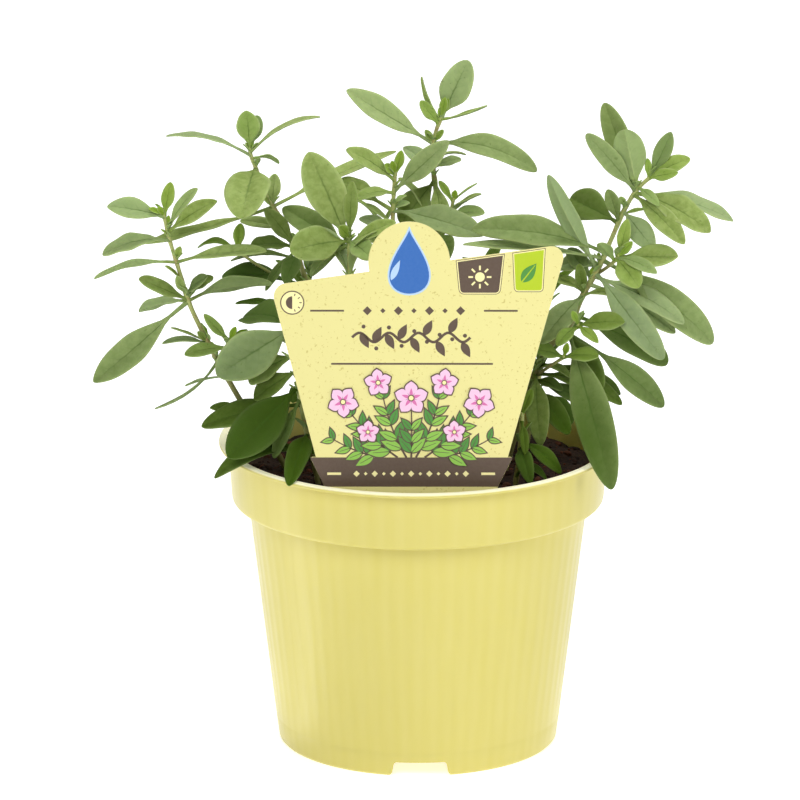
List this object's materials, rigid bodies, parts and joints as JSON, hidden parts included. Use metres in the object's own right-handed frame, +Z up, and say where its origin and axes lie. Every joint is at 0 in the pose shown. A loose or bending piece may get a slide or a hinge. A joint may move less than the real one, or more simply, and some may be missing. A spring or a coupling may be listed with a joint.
{
  "type": "potted mexican oregano",
  "caption": "Leafy Mexican oregano in a tapered plastic herb pot filled with soil, with a wide printed plant tag standing at the front.",
  "frame": {"origin": "middle of the pot's foot, on the surface that the pot stands on", "axes": "+Z up along the pot's axis, -Y towards the front where the plant tag stands, +X to the right as seen from the front"},
  "size_m": [0.1914, 0.1203, 0.2085],
  "materials": {
    "pot": "pale yellow moulded plastic, satin",
    "soil": "dark moist potting soil with fine fibres",
    "plant_tag": "pale yellow printed plastic sheet, satin",
    "print": "flat printing ink",
    "leaf": "green leaf, satin, paler underneath",
    "stem": "green stem, brown and woody towards its foot"
  },
  "bodies": {
    "root": {"pot": "pot", "soil": "soil", "plant_tag": "plant_tag", "stem_left": "leaf", "stem_low_left": "leaf", "stem_upper_left": "leaf", "stem_front_left": "leaf", "stem_centre": "leaf", "stem_tall": "leaf", "stem_right": "leaf", "stem_low_right": "leaf", "stem_back_1": "leaf", "stem_back_2": "leaf", "stem_back_3": "leaf", "stem_back_4": "leaf"}
  },
  "joints": []
}
